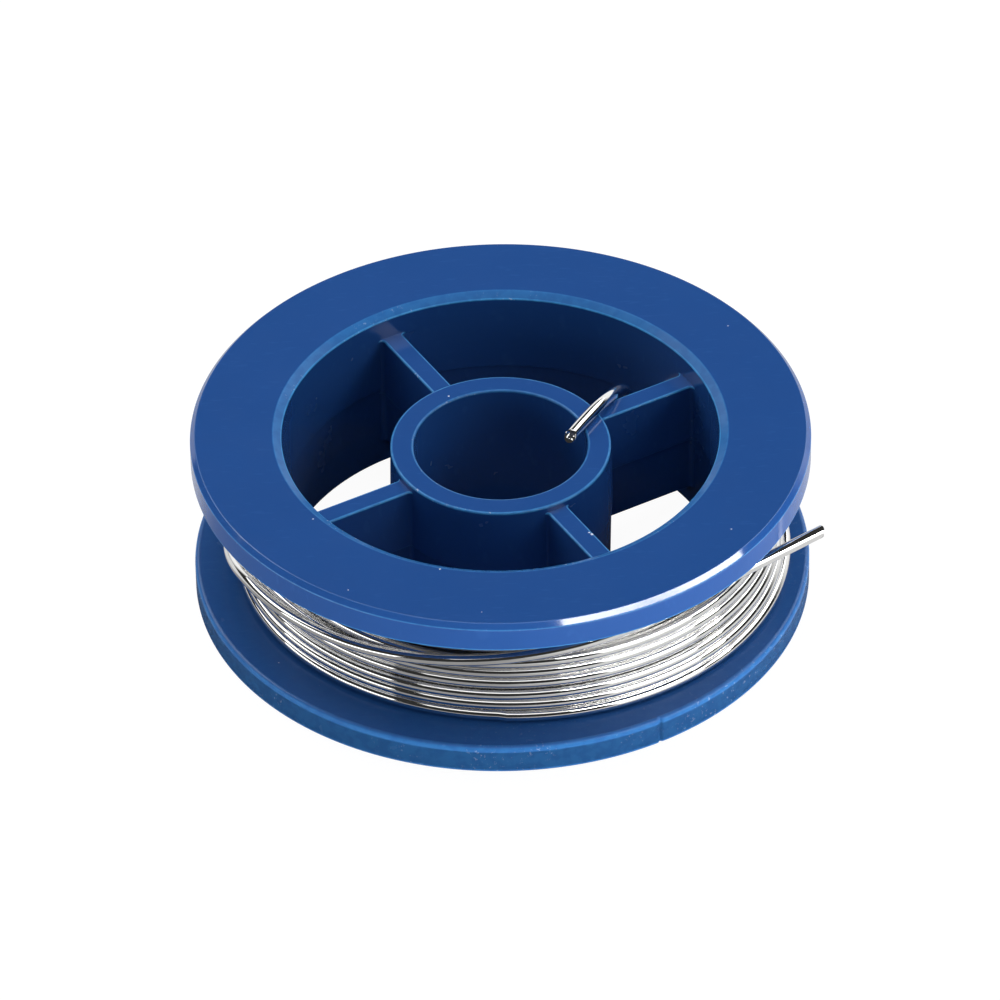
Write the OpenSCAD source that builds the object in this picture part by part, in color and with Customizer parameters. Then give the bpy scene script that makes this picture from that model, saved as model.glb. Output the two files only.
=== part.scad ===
// Solder wire spool: a small moulded spool with a wound length of rosin-core solder.
// Lengths are in millimetres and angles in degrees, counted from +X towards +Y.
// The spool stands on its lower flange at z = 0, and its bore lies on the Z axis.

/* [Spool] */
// Outer diameter of both flanges
flange_d = 40; // [38.5:0.5:60]
// Height over both flanges
spool_h = 12; // [10:0.5:24]
// Thickness of the upper flange
upper_flange_t = 2; // [1.2:0.1:3]
// Thickness of the lower flange
lower_flange_t = 2; // [1.2:0.1:3]
// Outer diameter of the drum that the wire is wound on
drum_d = 31.6; // [26:0.2:33]
// Wall thickness of the drum
drum_wall = 1.7; // [1:0.1:3]
// Width of the chamfer round the upper flange's rim
rim_chamfer_w = 0.25; // [0.05:0.05:0.8]
// Height of the chamfer round the upper flange's rim
rim_chamfer_h = 0.45; // [0.05:0.05:0.8]
// Width of the chamfer round the mouth of the drum
mouth_chamfer_w = 0.6; // [0.1:0.05:1]
// Height of the chamfer round the mouth of the drum
mouth_chamfer_h = 0.35; // [0.1:0.05:0.8]

/* [Hub and spokes] */
// Diameter of the bore for the spindle
bore_d = 11.24; // [6:0.02:13]
// Wall thickness of the hub
hub_wall = 1.5; // [0.8:0.1:2.5]
// Depth of the hub's ends below the faces of the flanges
hub_inset = 1.34; // [0.2:0.02:2]
// Thickness of a spoke
spoke_t = 1.4; // [0.8:0.1:2.5]
// Step from the hub's ends down to the edges of the spokes
spoke_inset = 0.46; // [0.1:0.02:1]
// Radius where a spoke runs into the hub and the drum
spoke_fillet = 0.3; // [0.2:0.05:1.2]
// Direction of the first spoke
spoke_az = 30; // [20:1:36]

/* [Wire] */
// Diameter of the solder wire
wire_d = 0.8; // [0.5:0.05:1]
// Diameter of the flux core inside the wire
flux_d = 0.28; // [0.15:0.01:0.4]
// Thickness of the wound wire below the outer turns
inner_winding_t = 0.5; // [0.3:0.05:1.2]
// Free space between neighbouring outer turns
turn_gap = 0.42; // [0.41:0.01:1]
// Clearance of the turns from the flanges and from the winding below
wire_clearance = 0.02; // [0.01:0.01:0.1]

/* [Wire ends] */
// Diameter of the hole in the drum that the wire starts from
start_hole_d = 1.4; // [1.2:0.05:2]
// Direction of the start hole, from the first spoke
start_hole_turn = 12; // [11:0.5:16]
// Depth of the start hole's axis below the upper flange
start_hole_drop = 2; // [1.2:0.05:2.5]
// Reach of the start of the wire over the bore, along the first spoke
start_reach = 1.5; // [0.4:0.05:2.5]
// Depth of the free end's axis below the upper flange
free_end_drop = 1.05; // [0.6:0.05:3]
// Length of the free end from where it leaves the winding
free_end_l = 12; // [4:0.5:30]
// Direction where the free end leaves the winding
free_end_az = -53; // [-70:1:-20]

/* [Hidden] */
$fn = 128;

// Heights and radii of the moulding
flange_r = flange_d / 2;
drum_r = drum_d / 2;
window_r = drum_r - drum_wall;
wind_z0 = lower_flange_t;
wind_z1 = spool_h - upper_flange_t;
bore_r = bore_d / 2;
hub_r = bore_r + hub_wall;
hub_z0 = hub_inset;
hub_z1 = spool_h - hub_inset;
spoke_z0 = hub_z0 + spoke_inset;
spoke_z1 = hub_z1 - spoke_inset;
// Length that a cut runs past the face it opens
cut_over = 1;

// The winding: a loop of the outer layer has this many rings, each of this many sides
loop_rings = 24;
tube_sides = 6;
ring_step = 360 / loop_rings;
wire_r = wire_d / 2;
core_r = drum_r + inner_winding_t;
turn_r = (core_r + wire_clearance + wire_r) / cos(ring_step / 2);
least_pitch = (wire_d + turn_gap) / cos(ring_step / 2);
over_r = turn_r + least_pitch;
turn_z0 = wind_z0 + wire_clearance + wire_r;
turn_z1 = wind_z1 - wire_clearance - wire_r;
// Sweeps are whole ring steps, so that rings of neighbouring turns stand side by side
layer_sweep = ring_step * floor(360 * (turn_z1 - turn_z0) / least_pitch / ring_step);
turn_pitch = 360 * (turn_z1 - turn_z0) / layer_sweep;
// The last turn runs over the layer, from its lowest turn to the free end
over_sweep = 240;
last_sweep = layer_sweep + over_sweep;
layer_start_az = free_end_az - last_sweep;
// A quarter turn takes the wire from the winding below, or out over the layer
lift_sweep = 90;
// Out there it stays low, climbs in a short hook, and goes on evenly to the free end
low_sweep = 105;
hook_sweep = 45;
hook_share = 0.42;
free_end_z = wind_z1 - free_end_drop;

// The free end is straight, and points along the last turn's tangent
free_end_dir = [-sin(free_end_az), cos(free_end_az), 0];
free_end_from = polar(over_r, free_end_az, free_end_z) + wire_d * free_end_dir;
free_end_straight = free_end_l - wire_d;

// The start of the wire: from the hole, up beside a spoke and over the hub's edge.
// Each point of its way is a share of the span from hub to drum, a share of the
// hole's distance aside from the spoke, and a share of the rise to the hub's top.
tail_way = [
    [0.8, 0.84, 0.15],
    [0.61, 0.6, 0.44],
    [0.44, 0.44, 0.68],
    [0.28, 0.29, 0.89],
    [0.11, -0.02, 0.97],
    [-0.14, -0.32, 1]
];
tail_end_aside = -0.72;
tail_sides = 8;
tail_steps = 3;
tail_straight = 2;
start_hole_az = spoke_az + start_hole_turn;
start_hole_z = wind_z1 - start_hole_drop;
start_hole_aside = window_r * sin(start_hole_turn);
rest_z = hub_z1 + wire_clearance + wire_r;
tail_middle = [
    for (p = tail_way)
        at_spoke(
            hub_r + p[0] * (window_r - hub_r),
            p[1] * start_hole_aside,
            start_hole_z + p[2] * (rest_z - start_hole_z)
        )
];
tail_end = at_spoke(
    bore_r - start_reach,
    tail_end_aside * start_hole_aside,
    rest_z + wire_clearance
);
tail_end_dir = unit(tail_end - tail_middle[len(tail_way) - 1]);
tail_points = concat(
    [
        polar(drum_r, start_hole_az, start_hole_z),
        polar(window_r, start_hole_az, start_hole_z)
    ],
    tail_middle,
    [tail_end - tail_straight * tail_end_dir, tail_end]
);
flux_start_l = 1.6;

function polar(r, az, z) = [r * cos(az), r * sin(az), z];

// A point beside the first spoke: so far along it, so far aside, and so high
function at_spoke(along, aside, z) =
    polar(along, spoke_az, z) + polar(aside, spoke_az + 90, 0);

// From 0 to 1 without a corner at either end, and flat outside them
function ease(s) = let (t = min(max(s, 0), 1)) t * t * (3 - 2 * t);

function unit(v) = v / norm(v);

// Radius and height of the outer wire after so much of its sweep
function turn_radius(sweep) =
    turn_r
    + (core_r + wire_d + bend_r - turn_r) * (1 - ease(sweep / lift_sweep))
    + (over_r - turn_r) * ease((sweep - layer_sweep + lift_sweep) / lift_sweep);

function climb(sweep) =
    (free_end_z - turn_z0) * (
        hook_share * ease(sweep / hook_sweep)
        + (1 - hook_share) * max(sweep, 0) / (over_sweep - low_sweep)
    );

function turn_height(sweep) =
    turn_z1 - turn_pitch * min(sweep, layer_sweep) / 360
    + climb(sweep - layer_sweep - low_sweep);

// The wire rises square out of the winding below, then bends round into its first turn
bend_r = wire_d;
bend_steps = 4;
lead_points = [
    polar(core_r, layer_start_az, turn_z1),
    for (i = [0 : bend_steps])
        polar(core_r + wire_d + bend_r * sin(90 * i / bend_steps), layer_start_az, turn_z1)
        + bend_r * (1 - cos(90 * i / bend_steps))
            * [-sin(layer_start_az), cos(layer_start_az), 0]
];
turn_points = [
    for (sweep = [ring_step : ring_step : last_sweep])
        polar(turn_radius(sweep), layer_start_az + sweep, turn_height(sweep))
];
outer_route = concat(lead_points, turn_points, [free_end_from]);

// The gap is measured between points along the wire that are over half a loop apart
gap_splits = 3;
gap_apart = gap_splits * loop_rings / 2;
gap_points = [
    for (i = [0 : len(turn_points) - 2], k = [0 : gap_splits - 1])
        turn_points[i] + (turn_points[i + 1] - turn_points[i]) * k / gap_splits
];
least_gap = min([
    for (i = [0 : len(gap_points) - gap_apart - 1])
        min([
            for (j = [i + gap_apart : len(gap_points) - 1])
                norm(gap_points[i] - gap_points[j])
        ])
]) - wire_d;
echo(least_gap_between_turns_mm = least_gap);

// A curve through every point of a list, with so many steps between each two
function smooth_route(points, steps) = [
    for (i = [0 : len(points) - 2], k = [0 : steps - 1])
        let (
            a = points[max(i - 1, 0)],
            b = points[i],
            c = points[i + 1],
            d = points[min(i + 2, len(points) - 1)],
            t = k / steps
        )
        b + t * (c - a) / 2
            + t * t * (a - 2.5 * b + 2 * c - d / 2)
            + t * t * t * (1.5 * b - 1.5 * c + d / 2 - a / 2),
    points[len(points) - 1]
];

// Direction of a route at a point, halfway between the stretches that meet there
function route_dir(route, i) =
    unit(route[min(i + 1, len(route) - 1)] - route[max(i - 1, 0)]);

// A closed round tube along a route that is nowhere upright
module tube(route, r, sides) {
    last = len(route) - 1;
    points = [
        for (i = [0 : last])
            let (along = route_dir(route, i), side = unit(cross(along, [0, 0, 1])))
                for (k = [0 : sides - 1])
                    route[i] + r * (
                        cos(360 * k / sides) * side
                        + sin(360 * k / sides) * cross(side, along)
                    )
    ];
    wall = [
        for (i = [0 : last - 1], k = [0 : sides - 1], half = [0, 1])
            let (
                a = i * sides + k,
                b = i * sides + (k + 1) % sides
            )
            half == 0 ? [a, b, b + sides] : [a, b + sides, a + sides]
    ];
    ends = [
        for (k = [1 : sides - 2], end = [0, 1])
            end == 0 ? [0, k + 1, k] : last * sides * [1, 1, 1] + [0, k, k + 1]
    ];
    polyhedron(points = points, faces = concat(wall, ends));
}

// A ring round the Z axis
module ring(outer_r, inner_r, z0, z1) {
    translate([0, 0, z0])
        difference() {
            cylinder(r = outer_r, h = z1 - z0);
            translate([0, 0, -cut_over])
                cylinder(r = inner_r, h = z1 - z0 + 2 * cut_over);
        }
}

// A round bar from a point along a direction
module bar(from, dir, d, l) {
    translate(from)
        rotate([0, acos(dir[2]), atan2(dir[1], dir[0])])
            cylinder(d = d, h = l);
}

// Centre of the fillet between a spoke's side and a round wall of radius r.
// inward is 1 where the spoke meets the hub and -1 where it meets the drum.
function fillet_centre(r, inward) =
    let (reach = r + inward * spoke_fillet, side_y = spoke_t / 2 + spoke_fillet)
        [sqrt(reach * reach - side_y * side_y), side_y];

// One spoke, with its flared ends cut to the hub and to the inside of the drum
module spoke(index) {
    at_hub = fillet_centre(hub_r, 1);
    at_drum = fillet_centre(window_r, -1);
    side = [
        at_hub * bore_r / norm(at_hub),
        at_hub,
        [at_hub[0], spoke_t / 2],
        [at_drum[0], spoke_t / 2],
        at_drum,
        at_drum * drum_r / norm(at_drum)
    ];
    other_side = [for (i = [len(side) - 1 : -1 : 0]) [side[i][0], -side[i][1]]];
    rotate(spoke_az + 90 * index)
        translate([0, 0, spoke_z0])
            linear_extrude(spoke_z1 - spoke_z0)
                intersection() {
                    difference() {
                        polygon(concat(side, other_side));
                        circle(r = hub_r);
                        for (centre = [at_hub, at_drum], flip = [1, -1])
                            translate([centre[0], flip * centre[1]])
                                circle(r = spoke_fillet);
                    }
                    circle(r = window_r);
                }
}

module upper_flange() {
    color([0.16, 0.32, 0.56])
        rotate_extrude()
            polygon([
                [window_r, wind_z1],
                [flange_r, wind_z1],
                [flange_r, spool_h - rim_chamfer_h],
                [flange_r - rim_chamfer_w, spool_h],
                [window_r + mouth_chamfer_w, spool_h],
                [window_r, spool_h - mouth_chamfer_h]
            ]);
}

module lower_flange() {
    color([0.16, 0.34, 0.58])
        ring(flange_r, window_r, 0, wind_z0);
}

module drum() {
    color([0.12, 0.25, 0.45])
        difference() {
            ring(drum_r, window_r, wind_z0, wind_z1);
            bar(polar(window_r - cut_over, start_hole_az, start_hole_z),
                polar(1, start_hole_az, 0), start_hole_d, drum_wall + 2 * cut_over);
        }
}

module hub() {
    color([0.15, 0.36, 0.60])
        ring(hub_r, bore_r, hub_z0, hub_z1);
}

module spoke_right() {
    color([0.14, 0.33, 0.56])
        spoke(0);
}

module spoke_back() {
    color([0.14, 0.33, 0.56])
        spoke(1);
}

module spoke_left() {
    color([0.14, 0.33, 0.56])
        spoke(2);
}

module spoke_front() {
    color([0.14, 0.33, 0.56])
        spoke(3);
}

module solder_inner_layers() {
    color([0.62, 0.62, 0.61])
        ring(core_r, drum_r + wire_clearance, wind_z0 + wire_clearance,
            wind_z1 - wire_clearance);
}

module solder_outer_turns() {
    color([0.82, 0.82, 0.81])
        tube(outer_route, wire_r, tube_sides);
}

module solder_free_end() {
    color([0.86, 0.86, 0.85])
        difference() {
            bar(free_end_from, free_end_dir, wire_d, free_end_straight);
            bar(free_end_from - cut_over * free_end_dir, free_end_dir, flux_d,
                free_end_straight + 2 * cut_over);
        }
}

module solder_start_tail() {
    color([0.86, 0.86, 0.85])
        difference() {
            tube(smooth_route(tail_points, tail_steps), wire_r, tail_sides);
            bar(tail_end - flux_start_l * tail_end_dir, tail_end_dir, flux_d,
                flux_start_l + cut_over);
        }
}

module flux_core_free_end() {
    color([0.45, 0.42, 0.36])
        bar(free_end_from, free_end_dir, flux_d, free_end_straight);
}

module flux_core_start_end() {
    color([0.45, 0.42, 0.36])
        bar(tail_end - flux_start_l * tail_end_dir, tail_end_dir, flux_d, flux_start_l);
}

upper_flange();
lower_flange();
drum();
hub();
spoke_right();
spoke_back();
spoke_left();
spoke_front();
solder_inner_layers();
solder_outer_turns();
solder_free_end();
solder_start_tail();
flux_core_free_end();
flux_core_start_end();
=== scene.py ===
"""The looks of a small moulded spool of rosin-core solder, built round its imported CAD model.

Lengths are in millimetres and angles in degrees from +X towards +Y, until a mesh is made.
"""

import math

import bpy
import numpy as np
from mathutils import Matrix, Quaternion, Vector

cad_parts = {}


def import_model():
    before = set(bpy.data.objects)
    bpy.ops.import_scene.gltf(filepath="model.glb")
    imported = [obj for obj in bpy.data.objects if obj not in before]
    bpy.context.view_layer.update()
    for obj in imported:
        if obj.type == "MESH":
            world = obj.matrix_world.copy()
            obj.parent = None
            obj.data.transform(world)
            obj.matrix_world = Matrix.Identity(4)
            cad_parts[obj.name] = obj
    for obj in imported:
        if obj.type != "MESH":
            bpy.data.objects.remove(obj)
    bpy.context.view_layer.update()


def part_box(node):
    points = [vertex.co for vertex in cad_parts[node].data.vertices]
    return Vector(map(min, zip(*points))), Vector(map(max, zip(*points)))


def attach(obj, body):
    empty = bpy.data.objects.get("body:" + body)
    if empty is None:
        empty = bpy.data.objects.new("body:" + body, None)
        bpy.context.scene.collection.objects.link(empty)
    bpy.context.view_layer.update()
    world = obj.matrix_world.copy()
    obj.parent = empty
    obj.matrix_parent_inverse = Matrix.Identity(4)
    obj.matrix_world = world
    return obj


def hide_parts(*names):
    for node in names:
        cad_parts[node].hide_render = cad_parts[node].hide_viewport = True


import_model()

MM = 0.001
BODY = "root"

# ---------------------------------------------------------------- sizes of the part


def cad_extent(node):
    """Radius, lowest z and highest z of a round CAD node, in millimetres."""
    low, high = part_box(node)
    return high.x / MM, low.z / MM, high.z / MM


FLANGE_R, WIND_Z1, SPOOL_H = cad_extent("upper_flange")
WIND_Z0 = cad_extent("lower_flange")[2]
DRUM_R = cad_extent("drum")[0]
HUB_R, HUB_Z0, HUB_Z1 = cad_extent("hub")
SPOKE_Z0, SPOKE_Z1 = cad_extent("spoke_right")[1:]
# Inner radius of the drum and the flanges, and of the hub
WINDOW_R = 14.1
BORE_R = 5.62
# Width and height of the chamfers on the upper flange's rim and on the drum's mouth
RIM_CHAMFER = (0.31, 0.35)
MOUTH_CHAMFER = (0.55, 0.33)

SPOKE_T = 1.4
SPOKE_FILLET = 0.3
SPOKE_AZ = 30

# The wire, the hole in the drum that it starts from, and where its free end leaves the winding
WIRE_R = 0.4
FLUX_R = 0.14
START_HOLE_D = 1.4
START_HOLE_AZ = SPOKE_AZ + 12
START_HOLE_Z = WIND_Z1 - 2
FREE_END_AZ = -53
FREE_END_R = 18.095
FREE_END_Z = WIND_Z1 - 1.05
FREE_END_L = 11.2

# Where the two halves of the mould met inside the spool, the width and height of the step that
# they left, and the lean of the walls that let each half draw out
PARTING_Z = 5.85
DRUM_PARTING_Z = 6.2
PARTING_STEP = 0.07
PARTING_EDGE = 0.01
DRAFT = math.tan(math.radians(1))


# ---------------------------------------------------------------- small helpers


def polar(r, az, z):
    a = math.radians(az)
    return np.array([r * math.cos(a), r * math.sin(a), z])


def unit(v):
    v = np.asarray(v, float)
    return v / np.linalg.norm(v)


def smooth_table(table, x):
    """A smooth curve through the rows (x, y) of a table, flat outside it."""
    keys = np.array([row[0] for row in table], float)
    values = np.array([row[1] for row in table], float)
    slopes = np.gradient(values, keys)
    x = np.clip(np.asarray(x, float), keys[0], keys[-1])
    i = np.clip(np.searchsorted(keys, x) - 1, 0, len(keys) - 2)
    step = keys[i + 1] - keys[i]
    t = (x - keys[i]) / step
    return (
        values[i] * (1 + 2 * t) * (1 - t) ** 2
        + slopes[i] * step * t * (1 - t) ** 2
        + values[i + 1] * t * t * (3 - 2 * t)
        + slopes[i + 1] * step * t * t * (t - 1)
    )


def ripple(x, waves):
    """A sum of sine waves, each (size, waves per turn, phase), for what no machine wound evenly."""
    return sum(size * np.sin(np.radians(x) * count + phase) for size, count, phase in waves)


def eased_share(x, start, span):
    """0 up to start, 1 from a span past it, and smooth between them."""
    share = np.clip((x - start) / span, 0, 1)
    return share * share * (3 - 2 * share)


def new_mesh(name, vertices, faces):
    """A mesh in metres from points in millimetres."""
    mesh = bpy.data.meshes.new(name)
    mesh.from_pydata([tuple(v) for v in np.asarray(vertices) * MM], [], faces)
    return mesh


def placed(name, data):
    """A new object in the scene."""
    made = bpy.data.objects.new(name, data)
    bpy.context.scene.collection.objects.link(made)
    return made


def ring_faces(rings, sides):
    """The quads between rings of points, and a face over each end."""
    faces = []
    for i in range(rings - 1):
        for k in range(sides):
            k2 = (k + 1) % sides
            faces.append((i * sides + k, i * sides + k2, (i + 1) * sides + k2, (i + 1) * sides + k))
    last = (rings - 1) * sides
    faces.append(tuple(reversed(range(sides))))
    faces.append(tuple(range(last, last + sides)))
    return faces


# Faces that meet at more than this many degrees keep a sharp edge
SHARP_ANGLE = 35


def new_object(name, vertices, faces, material, nodes, wear_and_painted_light=None):
    """A smooth-shaded piece that rides on the body and stands for CAD nodes.

    The last argument says, from 0 to 1, how much each vertex lies on an edge painted lighter: partly wear,
    partly a painted highlight where light catches the edge.
    """
    mesh = new_mesh(name, vertices, faces)
    mesh.validate()
    mesh.shade_smooth()
    mesh.set_sharp_from_angle(angle=math.radians(SHARP_ANGLE))
    if wear_and_painted_light is not None:
        layer = mesh.attributes.new("wear_and_painted_light", "FLOAT", "POINT")
        layer.data.foreach_set("value", np.asarray(wear_and_painted_light, np.float32))
    piece = placed(name, mesh)
    mesh.materials.append(material)
    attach(piece, BODY)
    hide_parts(*nodes)
    return piece


# ---------------------------------------------------------------- materials


# White nicks in the plastic: where they are and their radius, and how ragged their edges are. The one on
# the hub's top beside the bore, at the back, is a painted highlight.
NICKS_AND_GLINT = [
    ((5.73, -8.76, 10.2), 0.09), ((5.55, -8.6, 10.2), 0.05), ((4.45, -13.7, 11.75), 0.11),
    ((4.0, -13.75, 11.75), 0.07), ((-3.31, 5.13, 10.6), 0.08), ((-11.98, -9.05, 12), 0.05),
    ((-9.72, -16.2, 12), 0.05), ((-3.94, -14.25, 12), 0.05), ((-1.32, -18.57, 12), 0.04),
]
SPOT_RAGGED = 0.12

PLASTIC_IOR = 1.5
LEAST_GLOSS = 0.12

# Where the plastic's finish changes, and over what width one finish passes into the next
FINISH_BLEND = 0.1
CHAMFERS_Z = SPOOL_H - 0.5
RIM_EDGE_R = FLANGE_R - RIM_CHAMFER[0]
MOUTH_EDGE_R = WINDOW_R + MOUTH_CHAMFER[0]

# Height of the bumps, in metres
BUMP_DISTANCE = 0.00001


class Nodes:
    """The node tree of a material or a world, with short calls for the nodes used here."""

    def __init__(self, owner, output="ShaderNodeOutputMaterial"):
        self.owner = owner
        self.owner.use_nodes = True
        self.tree = self.owner.node_tree
        self.tree.nodes.clear()
        self.output = self.tree.nodes.new(output)

    def add(self, kind, inputs=None, **settings):
        node = self.tree.nodes.new("ShaderNode" + kind)
        for key, value in settings.items():
            setattr(node, key, value)
        for key, value in (inputs or {}).items():
            self.put(node.inputs[key], value)
        return node

    def put(self, socket, value):
        if isinstance(value, bpy.types.NodeSocket):
            self.tree.links.new(value, socket)
        else:
            socket.default_value = value

    def math(self, operation, *values, clamp=False):
        node = self.add("Math", operation=operation, use_clamp=clamp)
        for socket, value in zip(node.inputs, values):
            self.put(socket, value)
        return node.outputs[0]

    def noise(self, vector, scale, detail=2.0, roughness=0.5):
        return self.add(
            "TexNoise", {"Vector": vector, "Scale": scale, "Detail": detail, "Roughness": roughness}
        ).outputs["Fac"]

    def ramp(self, value, low, high):
        """0 below low, 1 above high, and smooth between them."""
        node = self.add(
            "MapRange", {"Value": value, "From Min": low, "From Max": high},
            interpolation_type="SMOOTHSTEP",
        )
        return node.outputs["Result"]

    def zone(self, place, low, high):
        """The same ramp between two places on the spool, in millimetres."""
        return self.ramp(place, low * MM, high * MM)

    def mix(self, factor, a, b):
        node = self.add("Mix", data_type="RGBA")
        self.put(node.inputs["Factor"], factor)
        self.put(node.inputs["A"], a)
        self.put(node.inputs["B"], b)
        return node.outputs["Result"]

    def finish(self, shader):
        self.tree.links.new(shader.outputs[0], self.output.inputs["Surface"])
        return self.owner


def srgb(r, g, b):
    """A colour written as 0 to 255 values, as the linear values that a shader takes."""
    def linear(c):
        c /= 255
        return c / 12.92 if c <= 0.04045 else ((c + 0.055) / 1.055) ** 2.4
    return linear(r), linear(g), linear(b), 1.0


def edge_wear_and_painted_light(n, place, wear_and_painted_light, colour):
    """Edges are painted lighter in dashes, partly wear and partly a painted highlight, with white flecks of
    burr. Gives the colour and the flecks.
    """
    # Painted highlight: edges are mixed towards light blue where light catches them, partly as wear, broken
    # into dashes
    dashes = n.math("ADD", n.math("MULTIPLY", n.ramp(n.noise(place, 1500, 2), 0.38, 0.6), 0.3), 0.7)
    colour = n.mix(n.math("MULTIPLY", wear_and_painted_light, dashes), colour, srgb(70, 155, 218))
    flecks = n.ramp(n.noise(place, 3400, 3, 0.7), 0.6, 0.68)
    patches = n.ramp(n.noise(place, 170, 2), 0.5, 0.62)
    flecks = n.math("MULTIPLY", n.math("MULTIPLY", n.math("POWER", wear_and_painted_light, 1.3), flecks), patches)
    return n.mix(flecks, colour, srgb(225, 236, 245)), flecks


def nicks_glint_and_dust(n, place, colour):
    """White nicks at the places where they show, with one painted highlight among them on the hub's top by
    the bore, and specks of dust far apart.
    """
    spots = None
    for at, size in NICKS_AND_GLINT:
        apart = n.add("VectorMath", {0: place, 1: tuple(v * MM for v in at)}, operation="DISTANCE")
        ragged = n.math("MULTIPLY", n.noise(place, 6000, 1), SPOT_RAGGED * MM)
        edge = n.math("ADD", apart.outputs["Value"], ragged)
        spot = n.math("LESS_THAN", edge, (size + SPOT_RAGGED / 2) * MM)
        spots = spot if spots is None else n.math("MAXIMUM", spots, spot)
    cells = n.add("TexVoronoi", {"Vector": place, "Scale": 520.0}, feature="F1")
    chosen = n.ramp(n.noise(cells.outputs["Position"], 90000, 0), 0.66, 0.68)
    speck = n.math("MULTIPLY", n.math("LESS_THAN", cells.outputs["Distance"], 0.035), chosen)
    marks = n.math("MAXIMUM", spots, n.math("MULTIPLY", speck, 0.6))
    return n.mix(marks, colour, srgb(205, 218, 232))


def rub_marks(n, place, colour):
    """Short soft strokes this way and that."""
    strokes = None
    for turn, seed in ((0.4, 3.0), (1.5, 11.0), (2.6, 23.0)):
        turned = n.add("Mapping", {
            "Vector": place, "Location": (seed, 0, 0), "Rotation": (0, 0, turn), "Scale": (700, 3200, 700),
        })
        stroke = n.ramp(n.noise(turned.outputs[0], 1.0, 1), 0.66, 0.8)
        strokes = stroke if strokes is None else n.math("MAXIMUM", strokes, stroke)
    return n.mix(n.math("MULTIPLY", strokes, 0.06), colour, srgb(70, 125, 190))


def sheen(n, place, wear_and_painted_light, flecks):
    """The plastic's roughness and its gloss, by where on the spool it is."""
    x, y, z = n.add("SeparateXYZ", {"Vector": place}).outputs
    radius = n.math("SQRT", n.math("ADD", n.math("MULTIPLY", x, x), n.math("MULTIPLY", y, y)))
    at_chamfers = n.zone(z, CHAMFERS_Z, CHAMFERS_Z + FINISH_BLEND)
    below_chamfers = n.zone(z, CHAMFERS_Z + FINISH_BLEND, CHAMFERS_Z)

    # What lies as high as the upper flange is smoother, and its rim's chamfer is polished by handling
    upper = n.zone(z, WIND_Z1, WIND_Z1 + FINISH_BLEND)
    polished = n.math("MULTIPLY", n.zone(radius, RIM_EDGE_R - 0.05, RIM_EDGE_R + 0.03), at_chamfers)
    rough = n.math("ADD", n.math("MULTIPLY", n.noise(place, 420, 3), 0.08), 0.22)
    rough = n.math("SUBTRACT", rough, n.math("MULTIPLY", upper, 0.11))
    rough = n.math("SUBTRACT", rough, n.math("MULTIPLY", polished, 0.06))
    rough = n.math("ADD", rough, n.math("MULTIPLY", flecks, 0.15))

    # Edges with wear and painted light, the rims, the mouth's chamfer and the face below the wire are
    # duller
    below_wire = n.math(
        "MULTIPLY", n.zone(z, WIND_Z0 + 1, WIND_Z0 + 0.6), n.zone(radius, FLANGE_R - 0.1, FLANGE_R - 0.5))
    mouth = n.math("MULTIPLY", at_chamfers, n.zone(radius, MOUTH_EDGE_R + 0.15, MOUTH_EDGE_R + 0.05))
    rims = n.math("MULTIPLY", below_chamfers, n.zone(radius, FLANGE_R - 0.2, FLANGE_R - 0.1))
    dull = n.math("MULTIPLY", n.math("MAXIMUM", below_wire, mouth), 0.35)
    dull = n.math("ADD", dull, n.math("MULTIPLY", rims, 0.2))
    dull = n.math("ADD", dull, n.math("MULTIPLY", wear_and_painted_light, 0.5))
    gloss = n.math("SUBTRACT", n.math("ADD", n.math("MULTIPLY", polished, 0.5), 0.5), dull)
    return rough, n.math("MAXIMUM", gloss, LEAST_GLOSS)


def blue_plastic():
    """Blue moulded plastic: clouded a little, finely scratched, and painted lighter along its edges, partly
    as wear and partly as a painted highlight.
    """
    n = Nodes(bpy.data.materials.new("blue_plastic"))
    place = n.add("TexCoord").outputs["Object"]
    wear_and_painted_light = n.add("Attribute", attribute_name="wear_and_painted_light").outputs["Fac"]
    colour = n.mix(n.noise(place, 160, 3), (0.014, 0.067, 0.248, 1), (0.017, 0.075, 0.272, 1))
    colour, flecks = edge_wear_and_painted_light(n, place, wear_and_painted_light, colour)
    colour = nicks_glint_and_dust(n, place, colour)
    colour = rub_marks(n, place, colour)
    rough, gloss = sheen(n, place, wear_and_painted_light, flecks)
    grain = n.noise(place, 2600, 3)
    bump = n.add("Bump", {"Strength": 0.1, "Distance": BUMP_DISTANCE, "Height": grain})
    shader = n.add("BsdfPrincipled", {
        "Base Color": colour, "Roughness": rough, "Normal": bump.outputs[0],
        "IOR": PLASTIC_IOR, "Specular IOR Level": gloss,
    })
    return n.finish(shader)


def solder():
    """Bright drawn solder wire, with fine draw lines along it and dull spots where it was handled."""
    n = Nodes(bpy.data.materials.new("solder"))
    place = n.add("TexCoord").outputs["Object"]
    along = n.add("UVMap", uv_map="along_wire").outputs[0]
    lines = n.add("Mapping", {"Vector": along, "Scale": (0.35, 15, 1)})
    drawn = n.noise(lines.outputs[0], 1.0, 3, 0.6)
    dents = n.add("Mapping", {"Vector": along, "Scale": (0.5, 3, 1)})
    colour = n.mix(n.noise(place, 900, 2), (0.82, 0.815, 0.805, 1), (0.92, 0.917, 0.905, 1))
    dull = n.ramp(n.noise(place, 2600, 2), 0.62, 0.74)
    height = n.math("ADD", n.math("MULTIPLY", drawn, 0.3), n.noise(dents.outputs[0], 1.0, 2))
    bump = n.add("Bump", {"Strength": 0.11, "Distance": BUMP_DISTANCE, "Height": height})
    rough = n.math("ADD", n.math("MULTIPLY", drawn, 0.04), 0.05)
    rough = n.math("ADD", rough, n.math("MULTIPLY", dull, 0.15))
    shader = n.add("BsdfPrincipled", {
        "Base Color": colour, "Roughness": rough, "Normal": bump.outputs[0], "Metallic": 1.0,
    })
    return n.finish(shader)


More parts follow.
